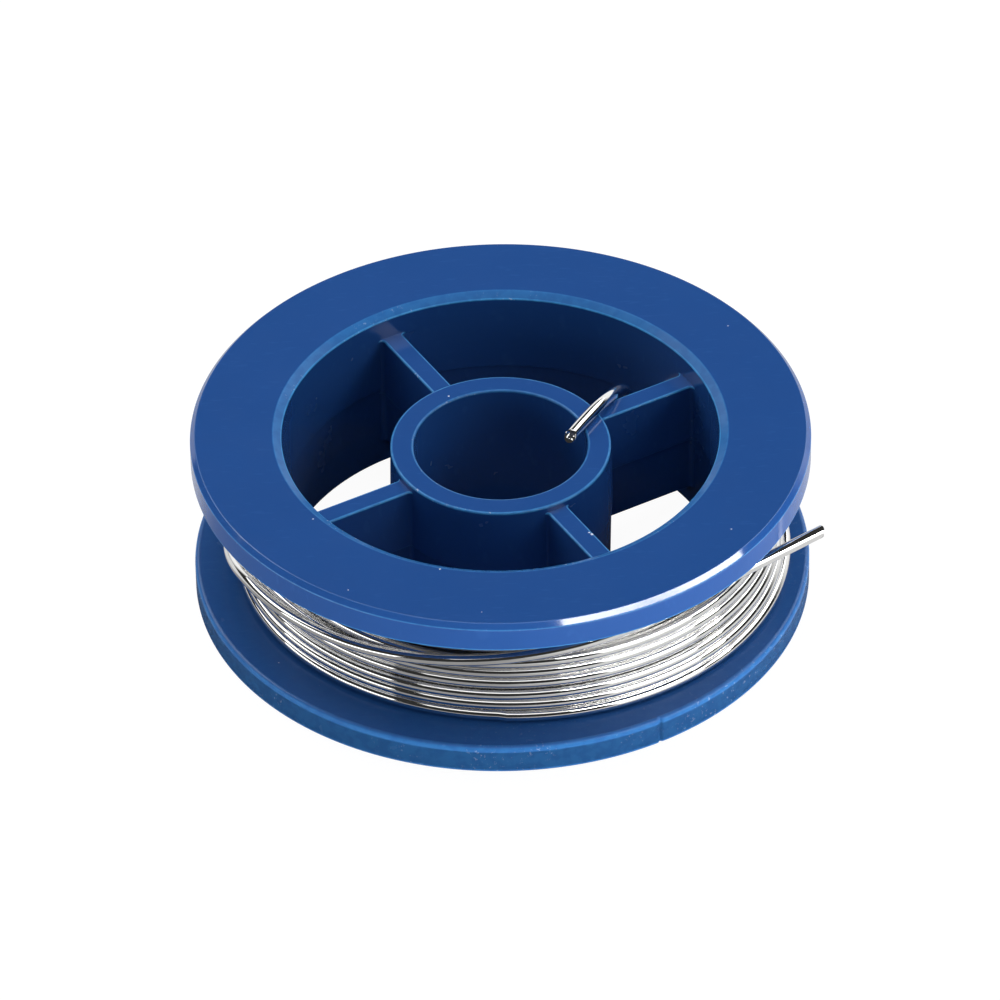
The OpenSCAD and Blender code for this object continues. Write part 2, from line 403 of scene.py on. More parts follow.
def flux():
    """The dark, glassy rosin in the wire's core."""
    n = Nodes(bpy.data.materials.new("flux"))
    place = n.add("TexCoord").outputs["Object"]
    colour = n.mix(n.noise(place, 6000, 2), srgb(38, 44, 60), srgb(86, 92, 108))
    shader = n.add("BsdfPrincipled", {"Base Color": colour, "Roughness": n.noise(place, 4000, 2)})
    return n.finish(shader)


BLUE = blue_plastic()
SOLDER = solder()
FLUX = flux()


# ---------------------------------------------------------------- the moulding

# Steps round each rounded corner, and how far past it the flat gets a point
ARC_STEPS = 5
GUARD = 0.05

# How far from an edge its unevenness reaches
EDGE_REACH = 0.25


def rounded(corners):
    """A closed profile from corners (r, z, radius, how much its edge is painted lighter), each rounded by
    its own radius.

    A point just past each round keeps the shading of the flats flat. The rows of the profile are r, z and
    how much the edge is painted lighter, as wear and as a painted highlight.
    """
    points = []
    for i, (r, z, radius, wear_and_painted_light) in enumerate(corners):
        here = np.array([r, z])
        back = unit(np.array(corners[i - 1][:2]) - here)
        ahead = unit(np.array(corners[(i + 1) % len(corners)][:2]) - here)
        if not radius:
            points.append((*here, wear_and_painted_light))
            continue
        guard = min(GUARD, radius / 2)
        half = math.acos(np.clip(back @ ahead, -1, 1)) / 2
        reach = radius / math.tan(half)
        centre = here + unit(back + ahead) * radius / math.sin(half)
        first, last = here + back * reach - centre, here + ahead * reach - centre
        points.append((*(here + back * (reach + guard)), 0))
        for k in range(ARC_STEPS + 1):
            t = k / ARC_STEPS
            sweep = math.pi - 2 * half
            a = math.sin((1 - t) * sweep) / math.sin(sweep)
            b = math.sin(t * sweep) / math.sin(sweep)
            points.append((*(centre + a * first + b * last), wear_and_painted_light))
        points.append((*(here + ahead * (reach + guard)), 0))
    return np.array(points)


def lathe(name, profile, steps, nodes, shape=None):
    """A ring round the Z axis. shape(r, z, az) may move the points of its surface."""
    count = len(profile)
    az = np.linspace(0, 360, steps, endpoint=False)[:, None] * np.ones((1, count))
    r, z, wear_and_painted_light = (np.ones((steps, 1)) * profile[None, :, k] for k in range(3))
    if shape:
        r, z = shape(r, z, az)
    a = np.radians(az)
    vertices = np.stack([r * np.cos(a), r * np.sin(a), z], -1).reshape(-1, 3)
    faces = []
    for i in range(steps):
        i2 = (i + 1) % steps
        for j in range(count):
            j2 = (j + 1) % count
            faces.append((i * count + j, i2 * count + j, i2 * count + j2, i * count + j2))
    return new_object(name, vertices, faces, BLUE, nodes, wear_and_painted_light.reshape(-1))


def uneven(az, seed):
    """A fine unevenness round the spool, from about -1 to 1, for edges that were trimmed by hand.

    It sums waves whose counts have no common divisor, so that it doesn't repeat round the spool.
    """
    total = 0
    for k in range(7):
        count = 37 + 61 * k + 13 * seed
        total = total + np.sin(np.radians(az) * count + 2.3 * k + seed) / (1 + 0.4 * k)
    return total / 3.5


def rough_edge(r, z, az, edge_r, edge_z, size, seed):
    """Pushes the surface near an edge up and down, so that its highlight breaks up."""
    gap = np.hypot(r - edge_r, z - edge_z)
    near = np.clip(1 - gap / EDGE_REACH, 0, 1)
    return z + size * near * uneven(az, seed) * np.sign(edge_z - SPOOL_H / 2)


# How much the mouth's chamfer is painted lighter at least, as a painted highlight, and how far past its
# edges that reaches
MOUTH_PAINTED_LIGHT = 0.25
ON_MOUTH = 0.02


def upper_flange():
    """The upper flange. Three rings on its flat top keep it free of streaks beside uneven edges."""
    chamfer_w, chamfer_h = RIM_CHAMFER
    mouth_w, mouth_h = MOUTH_CHAMFER
    # Each corner's last number paints its edge lighter: painted highlights on the rim's edges, its chamfer
    # and the mouth
    profile = rounded([
        (WINDOW_R, WIND_Z1, 0, 0),
        (FLANGE_R, WIND_Z1, 0.1, 0.5),
        (FLANGE_R, SPOOL_H - chamfer_h, 0.08, 0.3),
        (FLANGE_R - chamfer_w, SPOOL_H, 0.07, 0.06),
        (FLANGE_R - 1, SPOOL_H, 0, 0),
        (WINDOW_R + mouth_w + 0.8, SPOOL_H, 0, 0),
        (WINDOW_R + mouth_w + 0.35, SPOOL_H, 0, 0),
        (WINDOW_R + mouth_w, SPOOL_H, 0.1, 0.3),
        (WINDOW_R, SPOOL_H - mouth_h, 0.1, 0.8),
    ])

    # The whole of the mouth's chamfer is painted lighter, as a painted highlight
    inside = profile[:, 0] < WINDOW_R + mouth_w + ON_MOUTH
    high = profile[:, 1] > SPOOL_H - mouth_h - ON_MOUTH
    profile[inside & high, 2] = np.maximum(profile[inside & high, 2], MOUTH_PAINTED_LIGHT)

    def shape(r, z, az):
        z = rough_edge(r, z, az, FLANGE_R, WIND_Z1, 0.02, 1)
        z = rough_edge(r, z, az, WINDOW_R + mouth_w, SPOOL_H, 0.012, 2)
        return r, z

    return lathe("upper_flange_ring", profile, 1080, ["upper_flange"], shape)


# The line where the mould's halves met on the lower rim: a shallow groove
SPLIT_AZ = -60.3
SPLIT_W = 0.11
SPLIT_DEPTH = 0.12

# The rings between the lower flange's rounded edges, and how much its rim and its top are painted lighter,
# partly wear and partly painted light
RIM_RINGS = np.linspace(0.4, 1.6, 7)
TOP_RINGS = np.linspace(19.6, 17.0, 12)
RIM_WEAR_AND_LIGHT = 0.28
TOP_WEAR_AND_LIGHT = 0.06


def lower_flange():
    """The lower flange, with the split line across its rim."""
    low_round, top_round = 0.15, 0.3
    inner_top = WINDOW_R + DRAFT * (DRUM_PARTING_Z - WIND_Z0)
    inner_low = WINDOW_R + DRAFT * DRUM_PARTING_Z
    profile = rounded([
        (inner_low, 0, 0.1, 0),
        (FLANGE_R, 0, low_round, 0),
        # The rounded top edge is painted lighter, a painted highlight
        (FLANGE_R, WIND_Z0, top_round, 0.12),
        (inner_top, WIND_Z0, 0, 0),
    ])
    # Known fault: the rim's rings come in one point too early, before the one past the low round,
    # so that the rim's face lies three times over itself up to the last ring
    low_end = int(np.argmax(profile[:, 1] > low_round))
    rim = np.array([(FLANGE_R, z, RIM_WEAR_AND_LIGHT) for z in RIM_RINGS])
    profile = np.concatenate([profile[:low_end + 1], rim, profile[low_end + 1:]])

    # The rim is painted lighter, partly wear and partly painted light
    high = profile[:, 1] > WIND_Z0 - 0.1
    profile[(profile[:, 0] > FLANGE_R - 0.1) & ~high, 2] = RIM_WEAR_AND_LIGHT
    high_end = int(np.argmax(high & (profile[:, 0] < FLANGE_R - top_round - GUARD / 2)))
    top = np.array([(r, WIND_Z0, TOP_WEAR_AND_LIGHT) for r in TOP_RINGS])
    profile = np.concatenate([profile[:high_end + 1], top, profile[high_end + 1:]])

    def shape(r, z, az):
        z = rough_edge(r, z, az, FLANGE_R, WIND_Z0, 0.025, 3)
        aside = np.radians(az - 360 - SPLIT_AZ) * FLANGE_R
        groove = SPLIT_DEPTH * np.exp(-(aside / SPLIT_W) ** 2)
        on_rim = np.clip((r - TOP_RINGS[0]) / top_round, 0, 1)
        return r - groove * on_rim, z

    return lathe("lower_flange_ring", profile, 1800, ["lower_flange"], shape)


def drum():
    """The drum. Inside, its upper half stands out from the lower one and both lean off the parting."""
    profile = rounded([
        (WINDOW_R + DRAFT * (DRUM_PARTING_Z - WIND_Z0), WIND_Z0, 0, 0),
        (DRUM_R, WIND_Z0, 0, 0),
        (DRUM_R, WIND_Z1, 0, 0),
        (WINDOW_R, WIND_Z1, 0, 0),
        # The parting step's edge is painted lighter, a painted highlight where its ledge catches light
        (WINDOW_R - DRAFT * (WIND_Z1 - DRUM_PARTING_Z), DRUM_PARTING_Z, 0.02, 0.4),
        (WINDOW_R, DRUM_PARTING_Z - PARTING_EDGE, 0, 0),
    ])
    piece = lathe("drum_wall", profile, 360, ["drum"])
    drill(piece, polar(DRUM_R, START_HOLE_AZ, START_HOLE_Z), polar(1, START_HOLE_AZ, 0), START_HOLE_D)
    return piece


def drill(piece, at, direction, diameter):
    """Cuts a round hole through a piece, with its middle at a point."""
    sides = 32
    reach = 3
    side = unit(np.cross(direction, (0, 0, 1)))
    up = np.cross(side, direction)
    rings = []
    for end in (-reach, reach):
        for k in range(sides):
            a = 2 * math.pi * k / sides
            rings.append(at + end * direction + diameter / 2 * (math.cos(a) * side + math.sin(a) * up))
    cutter = placed("drill", new_mesh("drill", rings, ring_faces(2, sides)))
    cut = piece.modifiers.new("hole", "BOOLEAN")
    cut.operation = "DIFFERENCE"
    cut.solver = "EXACT"
    cut.object = cutter
    bpy.context.view_layer.update()
    drilled = piece.evaluated_get(bpy.context.evaluated_depsgraph_get())
    made = bpy.data.meshes.new_from_object(drilled)
    piece.modifiers.remove(cut)
    piece.data = made
    bpy.data.objects.remove(cutter)


def hub():
    """The hub's tube, with the spindle's bore. Its upper half stands out over the parting."""
    parting_r = HUB_R + DRAFT * (HUB_Z1 - PARTING_Z)
    profile = rounded([
        (BORE_R, HUB_Z0, 0.15, 0),
        (parting_r - PARTING_STEP - DRAFT * (PARTING_Z - HUB_Z0), HUB_Z0, 0.15, 0),
        (parting_r - PARTING_STEP, PARTING_Z - PARTING_EDGE, 0, 0),
        # The parting step's edge and the top edges are painted lighter, as painted highlights
        (parting_r, PARTING_Z, 0.02, 0.4),
        (HUB_R, HUB_Z1, 0.12, 0.55),
        (BORE_R, HUB_Z1, 0.12, 0.35),
    ])
    return lathe("hub_tube", profile, 360, ["hub"])


def fillet_centre(r, way):
    """The middle of the round where a spoke's +Y side meets a wall of radius r.

    It lies outside the hub's wall, which is way 1, and inside the drum's, which is way -1.
    """
    reach = r + way * SPOKE_FILLET
    side_y = SPOKE_T / 2 + SPOKE_FILLET
    return np.array([math.sqrt(reach * reach - side_y * side_y), side_y])


def arc(centre, radius, a0, a1, steps):
    """Points on an arc from the angle a0 to a1."""
    return [
        centre + radius * np.array([math.cos(a), math.sin(a)])
        for a in np.linspace(math.radians(a0), math.radians(a1), steps + 1)
    ]


# Steps round each fillet of a spoke, and along it
FILLET_STEPS = 8
SPOKE_STEPS = 11
# How far a spoke runs into the walls of the hub and the drum
SPOKE_ROOT = 0.3


def spoke_side():
    """The +Y side of a spoke along +X in plan, from inside the hub's wall to inside the drum's."""
    at_hub, at_drum = fillet_centre(HUB_R, 1), fillet_centre(WINDOW_R, -1)
    hub_a = math.degrees(math.atan2(at_hub[1], at_hub[0])) + 180
    drum_a = math.degrees(math.atan2(at_drum[1], at_drum[0]))
    straight = np.linspace(at_hub[0] + GUARD, at_drum[0] - GUARD, SPOKE_STEPS + 1)
    side = [at_hub * (HUB_R - SPOKE_ROOT) / np.linalg.norm(at_hub)]
    side += arc(at_hub, SPOKE_FILLET, hub_a, 270, FILLET_STEPS)
    side += [np.array([x, SPOKE_T / 2]) for x in straight]
    side += arc(at_drum, SPOKE_FILLET, -90, drum_a, FILLET_STEPS)
    side += [at_drum * (WINDOW_R + SPOKE_ROOT) / np.linalg.norm(at_drum)]
    return np.array(side)


def spoke_levels():
    """Rows (z, how far the side stands out, how much it is painted lighter) up a spoke, with rounded edges
    and the step.
    """
    rounding = 0.1
    step_round = 0.02
    rows = 4
    out = DRAFT * (SPOKE_Z1 - PARTING_Z)
    low = out - PARTING_STEP
    foot = low - DRAFT * (PARTING_Z - SPOKE_Z0)
    levels = []
    for k in range(rows):
        a = math.radians(90 * k / (rows - 1))
        levels.append((SPOKE_Z0 + rounding * (1 - math.cos(a)), foot - rounding * (1 - math.sin(a)), 0))
    levels += [(SPOKE_Z0 + rounding + GUARD, foot, 0), (PARTING_Z - 0.03, low, 0)]
    # The step's edge is painted lighter, a painted highlight
    levels += [(PARTING_Z - PARTING_EDGE, low, 0), (PARTING_Z, out - step_round, 0.4)]
    levels += [(PARTING_Z + step_round, out, 0.4)]
    levels += [(PARTING_Z + 0.06, out, 0), (SPOKE_Z1 - rounding - GUARD, 0, 0)]
    # The top edges are painted lighter, a painted highlight
    for k in range(rows):
        a = math.radians(90 * k / (rows - 1))
        levels.append((SPOKE_Z1 - rounding * (1 - math.sin(a)), -rounding * (1 - math.cos(a)), 0.6))
    levels.append((SPOKE_Z1, -rounding - GUARD, 0))
    return levels


def spoke(name, index):
    """One spoke: its two sides in plan, stacked at levels, with walls between them and lids."""
    side = spoke_side()
    count = len(side)
    turn = math.radians(SPOKE_AZ + 90 * index)
    levels = spoke_levels()
    vertices, wear_and_painted_light = [], []
    for z, out, lighter_by in levels:
        for sign in (1, -1):
            for x, y in side:
                y = sign * (y + out)
                turned_x = x * math.cos(turn) - y * math.sin(turn)
                turned_y = x * math.sin(turn) + y * math.cos(turn)
                vertices.append((turned_x, turned_y, z))
                wear_and_painted_light.append(lighter_by)
    faces = []
    ring = 2 * count
    for k in range(len(levels) - 1):
        for i in range(count - 1):
            a, b = k * ring + i, k * ring + i + 1
            faces.append((a, a + ring, b + ring, b))
            a, b = k * ring + count + i, k * ring + count + i + 1
            faces.append((a, b, b + ring, a + ring))
        for i in (0, count - 1):
            a, b = k * ring + i, k * ring + count + i
            quad = (a, b, b + ring, a + ring)
            faces.append(quad if i == 0 else tuple(reversed(quad)))
    for k, up in ((0, False), (len(levels) - 1, True)):
        for i in range(count - 1):
            a, b = k * ring + i, k * ring + i + 1
            quad = (a, a + count, b + count, b)
            faces.append(quad if up else tuple(reversed(quad)))
    return new_object(name + "_web", vertices, faces, BLUE, [name], wear_and_painted_light)


# ---------------------------------------------------------------- the wire

WIRE_SIDES = 20

# The rosin's share of its channel's radius, and the depth of the channel at a cut end
FLUX_FIT = 0.98
CHANNEL = 1.2


def tube(name, route, radius, nodes, end_slants=(0, 0), bores=(0, 0)):
    """A round wire along a route, with a closed face or an open core at each end.

    end_slants gives how far the far side of each cut lies behind its near side, along the wire.
    bores gives the depth of an open core at each end.
    """
    route = np.asarray(route, float)
    along = np.gradient(route, axis=0)
    along /= np.linalg.norm(along, axis=1)[:, None]
    side = unit(np.cross(along[0], (0, 0, 1)))
    sides = []
    for direction in along:
        side = unit(side - direction * (side @ direction))
        sides.append(side)
    sides = np.array(sides)
    ups = np.cross(sides, along)
    lengths = np.concatenate([[0], np.cumsum(np.linalg.norm(np.diff(route, axis=0), axis=1))])
    angles = 2 * np.pi * np.arange(WIRE_SIDES) / WIRE_SIDES
    around = np.cos(angles)[None, :, None] * sides[:, None] + np.sin(angles)[None, :, None] * ups[:, None]
    rings = list(route[:, None] + radius * around)
    marks = list(lengths)

    def slanted(ring, end):
        shift = end_slants[end] * (np.sin(angles) - 1) / 2
        return ring + (1 if end else -1) * shift[:, None] * along[-end][None, :]

    for end in (0, 1):
        centre, out = route[-end], along[-end] * (1 if end else -1)
        circle = around[-end]
        # Radius, reach past the route's end, and length along the surface for the material
        cut = [(radius, 0, 0), (0.9 * radius, 0.04, 0.05), (0.8 * radius, 0.02, 0.1)]
        if bores[end]:
            cut += [(FLUX_R + 0.05, -0.05, 0.3), (FLUX_R, -0.08, 0.33), (FLUX_R, -bores[end], 0.5)]
        made = [slanted(centre + reach * out + size * circle, end) for size, reach, _ in cut]
        if end:
            rings[-1] = made[0]
            rings += made[1:]
            marks += [lengths[-1] + m for _, _, m in cut[1:]]
        else:
            rings[0] = made[0]
            rings = made[:0:-1] + rings
            marks = [-m for _, _, m in cut[:0:-1]] + marks
    faces = ring_faces(len(rings), WIRE_SIDES)
    piece = new_object(name, np.concatenate(rings), faces, SOLDER, nodes)
    unroll(piece.data, marks)
    return piece


def unroll(mesh, marks):
    """Gives a wire's surface its length along the wire and its share of the way round, as UVs."""
    layer = mesh.uv_layers.new(name="along_wire")
    for polygon in mesh.polygons:
        corners = [mesh.loops[i].vertex_index for i in polygon.loop_indices]
        sides = [v % WIRE_SIDES for v in corners]
        wraps = 0 in sides and WIRE_SIDES - 1 in sides
        for loop, v, side in zip(polygon.loop_indices, corners, sides):
            if wraps and side == 0:
                side = WIRE_SIDES
            layer.data[loop].uv = (marks[v // WIRE_SIDES], side / WIRE_SIDES)


# Clearance of the wire from the drum and the flanges, and the steps of a route in degrees
WIRE_GAP = 0.02
STEP_DEG = 2.0
TOP_Z = WIND_Z1 - WIRE_R - WIRE_GAP

# The first layer on the drum, and the outer one over it
FIRST_LAYER_R = DRUM_R + WIRE_R + WIRE_GAP
FIRST_PITCH = 2 * WIRE_R + 0.01
OUTER_R = 16.95

# Height of each outer turn at the front of the spool, from the lowest, with the gap after the third
FRONT_AZ = -90
TURN_Z = [2.42, 3.24, 4.04, 5.0, 5.81, 6.62, 7.43]

# The turns above them, up to the flange, and the degrees over which the wire crosses down
UPPER_Z = 8.2
UPPER_PITCH = 0.81
CROSSING_END_AZ = -97
CROSSING = 95

# The degrees over which the wire climbs from the first layer to the outer one
CLIMB = 50

# The loose winding swells towards one side: how far the lowest turn stands out there, over how
# many turns that dies away, and the angle along the wire where it ends
SWELL_AZ = -18
SWELL = 1.2
SWELL_TURNS = 6
SWELL_END = -270

# Small waves in the outer layer's radius and height, and where they fade before the free end
WAVES_R = [(0.02, 2.37, 0.4), (0.012, 5.13, 1.9)]
WAVES_Z = [(0.02, 1.71, 1.1), (0.01, 4.63, 0.2)]
WAVES_END = FREE_END_AZ - 10
WAVES_FADE = 30
# The lowest turn, up to this height, lies flat on the flange
FLAT_Z = 2.5

# The last turn leaves the lowest one behind the spool, hooks up and runs on to the free end.
# Rows are the angle along the wire and the height there.
LAST_TURN_Z = [
    (-290, 2.42), (-250, 2.45), (-215, 2.6), (-190, 3.0), (-178, 3.5), (-169, 4.2), (-156, 5.45),
    (-148, 5.85), (-136, 6.25), (-123, 6.55), (-110, 6.95), (-97, 7.4), (-80, 8.0), (-53, 8.95),
]
# How far the lowest turn and the last one stand out from the outer layer
LAST_TURN_R = [
    (-450, 0.1), (-380, 0.21), (-340, 0.56), (-313, 0.65), (-290, 0.69), (-250, 0.73),
    (-215, 0.78), (-169, 0.85), (-97, 0.87), (-53, FREE_END_R - OUTER_R),
]


def bulge(az):
    """The share of the swelling at a place: 1 at its own side of the spool, and 0 across from it."""
    return ((1 + np.cos(np.radians(az - SWELL_AZ))) / 2) ** 4


def outer_route():
    """The outer layer from its top turn down, then the last turn over it, up to the free end.

    At the left the wire crosses down from the upper turns and leaves a gap under the flange.
    Gives the route and the angle where it starts.
    """
    crossing_start = CROSSING_END_AZ - 360 * (len(TURN_Z) - 1) - CROSSING
    start = crossing_start - 360 * (TOP_Z - UPPER_Z) / UPPER_PITCH
    a = np.arange(start, FREE_END_AZ + STEP_DEG / 2, STEP_DEG)
    a[-1] = FREE_END_AZ
    turn = (FRONT_AZ - a) / 360
    z = np.interp(turn, np.arange(1, len(TURN_Z) + 1), TURN_Z)
    fall = eased_share(a, crossing_start, CROSSING)
    z = z + (UPPER_Z - z[np.searchsorted(a, crossing_start)]) * (1 - fall)
    z = np.where(a < crossing_start, UPPER_Z + UPPER_PITCH * (crossing_start - a) / 360, z)
    z = np.where(a > LAST_TURN_Z[0][0], smooth_table(LAST_TURN_Z, a), z)
    climb = eased_share(a, start, CLIMB)
    swell = SWELL * np.exp(-np.clip(turn - 1, 0, None) / SWELL_TURNS) * bulge(a)
    swell = np.where(a > SWELL_END, 0, swell)
    lift = np.where(a > LAST_TURN_R[0][0], smooth_table(LAST_TURN_R, a), 0.0)
    r = FIRST_LAYER_R + (OUTER_R - FIRST_LAYER_R) * climb + swell * climb + lift
    loose = np.clip((WAVES_END - a) / WAVES_FADE, 0, 1) * climb
    r = r + loose * ripple(a, WAVES_R)
    z = z + loose * (z > FLAT_Z) * ripple(a, WAVES_Z)
    rad = np.radians(a)
    return np.stack([r * np.cos(rad), r * np.sin(rad), z], -1), start


def first_layer_route(end):
    """The first layer, wound up the drum to where the outer one starts."""
    turns = (TOP_Z - WIND_Z0 - WIRE_R - WIRE_GAP) / FIRST_PITCH
    a = np.arange(end - 360 * turns, end, STEP_DEG)
    a = np.append(a, end)
    z = TOP_Z - FIRST_PITCH * (end - a) / 360
    rad = np.radians(a)
    return np.stack([FIRST_LAYER_R * np.cos(rad), FIRST_LAYER_R * np.sin(rad), z], -1)


def free_end_route():
    """The free end, straight on from where the last turn leaves the winding."""
    az = math.radians(FREE_END_AZ)
    direction = np.array([-math.sin(az), math.cos(az), 0])
    start = polar(FREE_END_R, FREE_END_AZ, FREE_END_Z)
    return [start + direction * s for s in np.linspace(0, 2 * WIRE_R + FREE_END_L, 60)]


def at_spoke(along, aside, z):
    """A point beside the first spoke: so far along it, so far aside, and so high."""
    return polar(along, SPOKE_AZ, z) + polar(aside, SPOKE_AZ + 90, 0)


# Where the wire leans in its start hole: degrees aside of the hole's axis, and height above it
TAIL_IN_HOLE = (-0.7, -0.22)
TAIL_STEPS = 10

# The way of the wire's start, as points beside the first spoke, from inside the drum to the cut end
TAIL_WAY = [
    (12.9, 2.6, 7.7), (11.7, 2.4, 7.9), (10.9, 2.25, 8.9), (10.4, 1.92, 9.75), (9.75, 1.45, 10.2),
    (8.99, 0.93, 10.52), (8.32, 0.44, 10.8), (7.6, -0.04, 11.0), (6.9, -0.42, 11.08),
    (5.66, -1.1, 11.09), (4.5, -1.78, 11.1), (4.2, -1.97, 11.1),
]


def start_tail_route():
    """The start of the wire: from its hole, up beside a spoke and over the hub's edge."""
    az, z = START_HOLE_AZ + TAIL_IN_HOLE[0], START_HOLE_Z + TAIL_IN_HOLE[1]
    # Two points in the drum's wall lead it out of the hole
    points = [polar(r, az, z) for r in (DRUM_R, WINDOW_R + 0.3)]
    points += [at_spoke(*place) for place in TAIL_WAY]
    return eased(points, TAIL_STEPS)


def eased(points, steps):
    """A smooth curve led by points (a cubic B-spline), with so many steps between each two."""
    ends = [2 * points[0] - points[1]], [2 * points[-1] - points[-2]]
    led = ends[0] + list(points) + ends[1]
    route = []
    for a, b, c, d in zip(led, led[1:], led[2:], led[3:]):
        for t in np.arange(steps) / steps:
            route.append((
                (1 - t) ** 3 * a + (3 * t ** 3 - 6 * t * t + 4) * b
                + (-3 * t ** 3 + 3 * t * t + 3 * t + 1) * c + t ** 3 * d
            ) / 6)
    route.append(points[-1])
    return route


def flux_core(name, wire, inner, outer, node):
    """The rosin core at a wire's cut end, between two places so far past that end."""
    out = unit(wire[-1] - wire[-2])
    route = np.array([wire[-1] + inner * out, wire[-1] + outer * out])
    direction = unit(route[-1] - route[0])
    side = unit(np.cross(direction, (0, 0, 1)))
    up = np.cross(side, direction)
    sides = 16
    vertices = []
    # Share of the core's length and share of its radius, with a rounded and hollow end
    rings = [(0, 1.0), (0.97, 1.0), (1.0, 0.9), (1.0, 0.5), (0.985, 0.05)]
    length = np.linalg.norm(route[-1] - route[0])
    for share, size in rings:
        for k in range(sides):
            a = 2 * math.pi * k / sides
            around = math.cos(a) * side + math.sin(a) * up
            vertices.append(route[0] + direction * length * share + FLUX_FIT * FLUX_R * size * around)
    return new_object(name, vertices, ring_faces(len(rings), sides), FLUX, [node])


# ---------------------------------------------------------------- the pieces

upper_flange()
lower_flange()
drum()
hub()
for index, place in enumerate(("right", "back", "left", "front")):
    spoke("spoke_" + place, index)

outer, outer_start = outer_route()
tube("first_layer_turns", first_layer_route(outer_start), WIRE_R, ["solder_inner_layers"])
tube("outer_layer_turns", outer, WIRE_R, ["solder_outer_turns"])

free_end = free_end_route()
tube("free_end_wire", free_end, WIRE_R, ["solder_free_end"], end_slants=(0, 0.6), bores=(0, CHANNEL))
flux_core("free_end_rosin", free_end, -1.4, -0.35, "flux_core_free_end")

start_tail = start_tail_route()
tube("start_tail_wire", start_tail, WIRE_R, ["solder_start_tail"], end_slants=(0, -0.5), bores=(0, CHANNEL))
flux_core("start_tail_rosin", start_tail, -1.3, 0.12, "flux_core_start_end")


# ---------------------------------------------------------------- stage, light and camera


# Half the floor's width
FLOOR_HALF = 2000

# How bright the floor looks to the camera and in reflections, and the painted light that its right and
# back-left sides add there
FLOOR_SEEN = 0.94
FLOOR_REFLECTED = 0.22
FLOOR_PAINTED_LIGHT = 0.4


def grey(level):
    return level, level, level, 1


def floor():
    """A plain pale floor. The camera sees it white all over, with hardly a shadow on it.

    Glossy and clear things see it with painted light at the right and at the back left, painted shade below
    the spool and grey elsewhere.
    """
    half = FLOOR_HALF
    corners = [(-half, -half, 0), (half, -half, 0), (half, half, 0), (-half, half, 0)]
    mesh = new_mesh("floor", corners, [(0, 1, 2, 3)])
    placed("floor", mesh)
    n = Nodes(bpy.data.materials.new("floor"))
    path = n.add("LightPath")
    place = n.add("TexCoord").outputs["Object"]
    x, y, _ = n.add("SeparateXYZ", {"Vector": place}).outputs
    from_axis = n.add("VectorMath", {0: place}, operation="LENGTH").outputs["Value"]
    # Painted light and shade seen in reflections: brighter at the right and at the back left, nothing below
    # the spool
    right = n.math("MULTIPLY", n.zone(x, -4, 16), FLOOR_PAINTED_LIGHT)
    left = n.math("MULTIPLY", n.math("MULTIPLY", n.zone(x, -10, -16), n.zone(y, 0, 8)), FLOOR_PAINTED_LIGHT)
    level = n.math("ADD", n.math("ADD", right, left), FLOOR_REFLECTED)
    level = n.math("MULTIPLY", level, n.zone(from_axis, FLANGE_R - 0.5, FLANGE_R + 1))
    to_camera = path.outputs["Is Camera Ray"]
    reflected = n.math("MULTIPLY", n.math("SUBTRACT", 1.0, to_camera), level)
    strength = n.math("ADD", n.math("MULTIPLY", to_camera, FLOOR_SEEN), reflected)
    bounced = n.math("MAXIMUM", path.outputs["Is Glossy Ray"], path.outputs["Is Transmission Ray"])
    # Painted shade: the floor's own colour is near black below the spool
    painted_shade_below = n.mix(n.zone(from_axis, FLANGE_R - 5, FLANGE_R), grey(0.04), grey(0.85))
    pale = n.add("BsdfDiffuse", {"Color": painted_shade_below})
    faint = n.add("BsdfDiffuse", {"Color": grey(0.1)})
    glow = n.add("Emission", {"Color": grey(1), "Strength": strength})
    white = n.add("AddShader")
    n.put(white.inputs[0], faint.outputs[0])
    n.put(white.inputs[1], glow.outputs[0])
    both = n.add("MixShader")
    n.put(both.inputs[0], n.math("MAXIMUM", to_camera, bounced))
    n.put(both.inputs[1], pale.outputs[0])
    n.put(both.inputs[2], white.outputs[0])
    mesh.materials.append(n.finish(both))


# The way to the backdrop's middle, and how it fades in towards that and out upwards, by cosine
# and sine
BACKDROP_WAY = (0.26, 0.97, 0)
BACKDROP_SIDES = (0.65, 0.85)
BACKDROP_TOP = (0.46, 0.52)


def world():
    """The studio: a white backdrop low behind the spool, and dark above and in front."""
    made = bpy.data.worlds.new("studio")
    bpy.context.scene.world = made
    n = Nodes(made, "ShaderNodeOutputWorld")
    way = n.add("TexCoord").outputs["Generated"]
    up = n.add("SeparateXYZ", {"Vector": way}).outputs["Z"]
    facing = n.add("VectorMath", {0: way, 1: BACKDROP_WAY}, operation="DOT_PRODUCT")
    within = n.ramp(facing.outputs["Value"], *BACKDROP_SIDES)
    backdrop = n.math("MULTIPLY", within, n.math("SUBTRACT", 1.0, n.ramp(up, *BACKDROP_TOP)))
    seen = n.math("MAXIMUM", backdrop, n.add("LightPath").outputs["Is Camera Ray"])
    return n.finish(n.add("Background", {"Color": n.mix(seen, grey(0.03), grey(1))}))


# Metres from the spool to each lamp
LAMP_DISTANCE = 0.5


def lamp(name, az, elevation, width, height, radiance, roll=0):
    """A soft box that faces the spool, with its size in metres.

    Its radiance is how bright it looks, where white is 1.
    """
    light = bpy.data.lights.new(name, "AREA")
    light.shape = "RECTANGLE"
    light.size = width
    light.size_y = height
    light.energy = radiance * math.pi * width * height
    box = placed(name, light)
    a, e = math.radians(az), math.radians(elevation)
    away = Vector((math.cos(a) * math.cos(e), math.sin(a) * math.cos(e), math.sin(e)))
    box.location = away * LAMP_DISTANCE
    leaning = Quaternion((0, 0, 1), math.radians(roll))
    box.rotation_euler = (away.to_track_quat("Z", "Y") @ leaning).to_euler()
    box.visible_camera = False
    return box


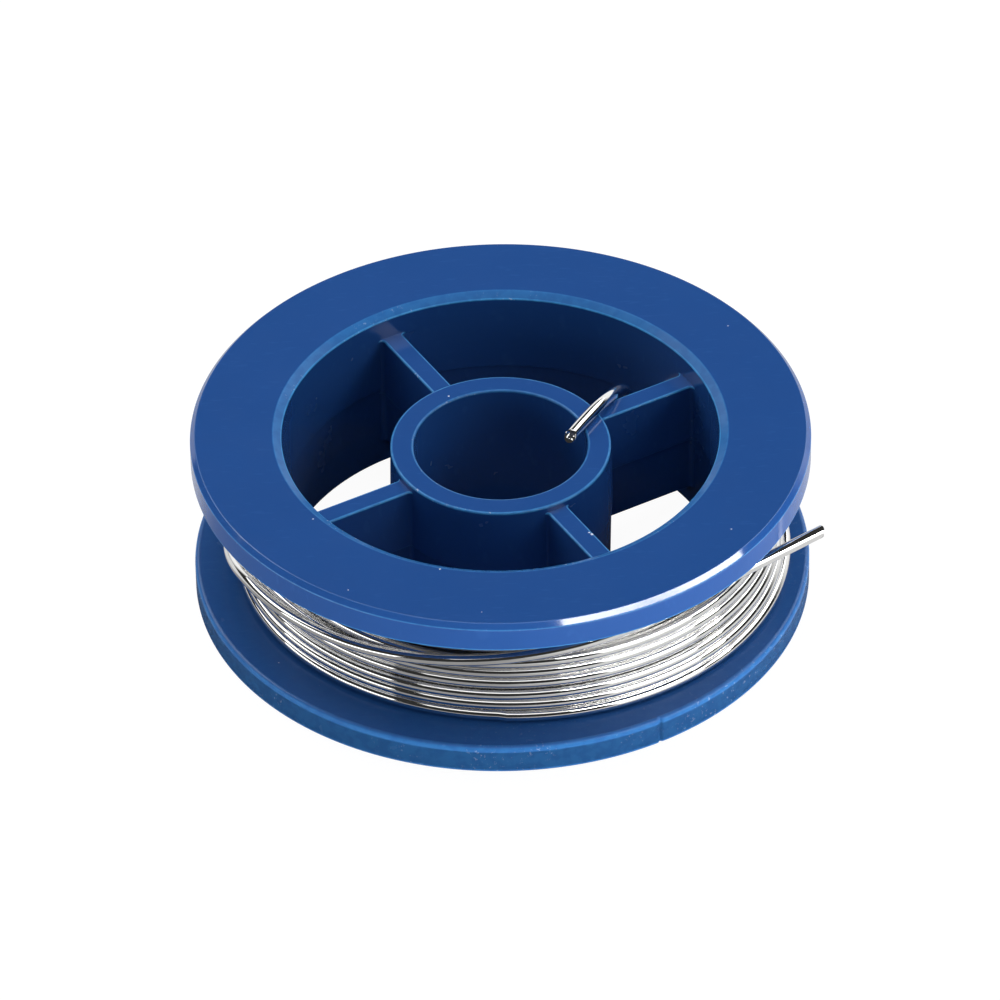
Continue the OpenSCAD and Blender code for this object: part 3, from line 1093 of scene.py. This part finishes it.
# The camera, fitted to the flanges' rims in the photo: the lens in millimetres, and the pixel of
# the picture on which the target falls
CAMERA_ELEVATION = 38.758
CAMERA_ROLL = -0.85
CAMERA_LENS = 288
SENSOR = 36
CAMERA_DISTANCE = 518.77
TARGET = np.array([0, 0, 5.7])
TARGET_PIXEL = (501.504, 504.251)
IMAGE = 1000


def camera():
    """A long lens that looks along +Y and down, with the middle of the spool near the frame's centre."""
    e, roll = math.radians(CAMERA_ELEVATION), math.radians(CAMERA_ROLL)
    ahead = np.array([0, math.cos(e), -math.sin(e)])
    right = np.array([1.0, 0, 0])
    up = np.cross(right, ahead)
    turned = right * math.cos(roll) + up * math.sin(roll)
    upright = up * math.cos(roll) - right * math.sin(roll)
    per_pixel = CAMERA_DISTANCE * SENSOR / CAMERA_LENS / IMAGE
    place = TARGET - CAMERA_DISTANCE * ahead
    place = place - turned * (TARGET_PIXEL[0] - IMAGE / 2) * per_pixel
    place = place + upright * (TARGET_PIXEL[1] - IMAGE / 2) * per_pixel
    data = bpy.data.cameras.new("camera")
    data.lens = CAMERA_LENS
    data.sensor_width = SENSOR
    data.clip_start = 0.01
    data.clip_end = 10
    seen = placed("camera", data)
    seen.matrix_world = Matrix([
        [turned[i], upright[i], -ahead[i], place[i] * MM] for i in range(3)
    ] + [[0, 0, 0, 1]])
    bpy.context.scene.camera = seen


floor()
world()
# The key strip shows only in reflections, the boxes light everything, and the fills show in none
lamp("key_strip", -30.5, 38, 0.555, 0.06, 12.5, roll=-19.5).visible_diffuse = False
lamp("right_box", -36, 17, 0.34, 0.3, 1.5)
lamp("left_box", 145, 38, 0.45, 0.3, 1.8)
lamp("left_low_box", -158, 8, 0.46, 0.15, 2.1)
lamp("overhead_box", 34, 41, 0.48, 0.17, 2.2)
lamp("back_top_box", 125, 62, 0.35, 0.25, 1.6)
lamp("front_top_box", -98, 55, 0.36, 0.14, 1.3)
lamp("top_fill", 90, 88, 0.4, 0.4, 2.1).visible_glossy = False
lamp("right_fill", -5, 45, 0.3, 0.2, 2.0).visible_glossy = False
lamp("low_fill", -48, 1.3, 0.9, 0.018, 78.0).visible_glossy = False
lamp("left_fill", -172, 1.3, 0.4, 0.018, 30.0).visible_glossy = False
camera()
bpy.context.scene.view_settings.view_transform = "Standard"
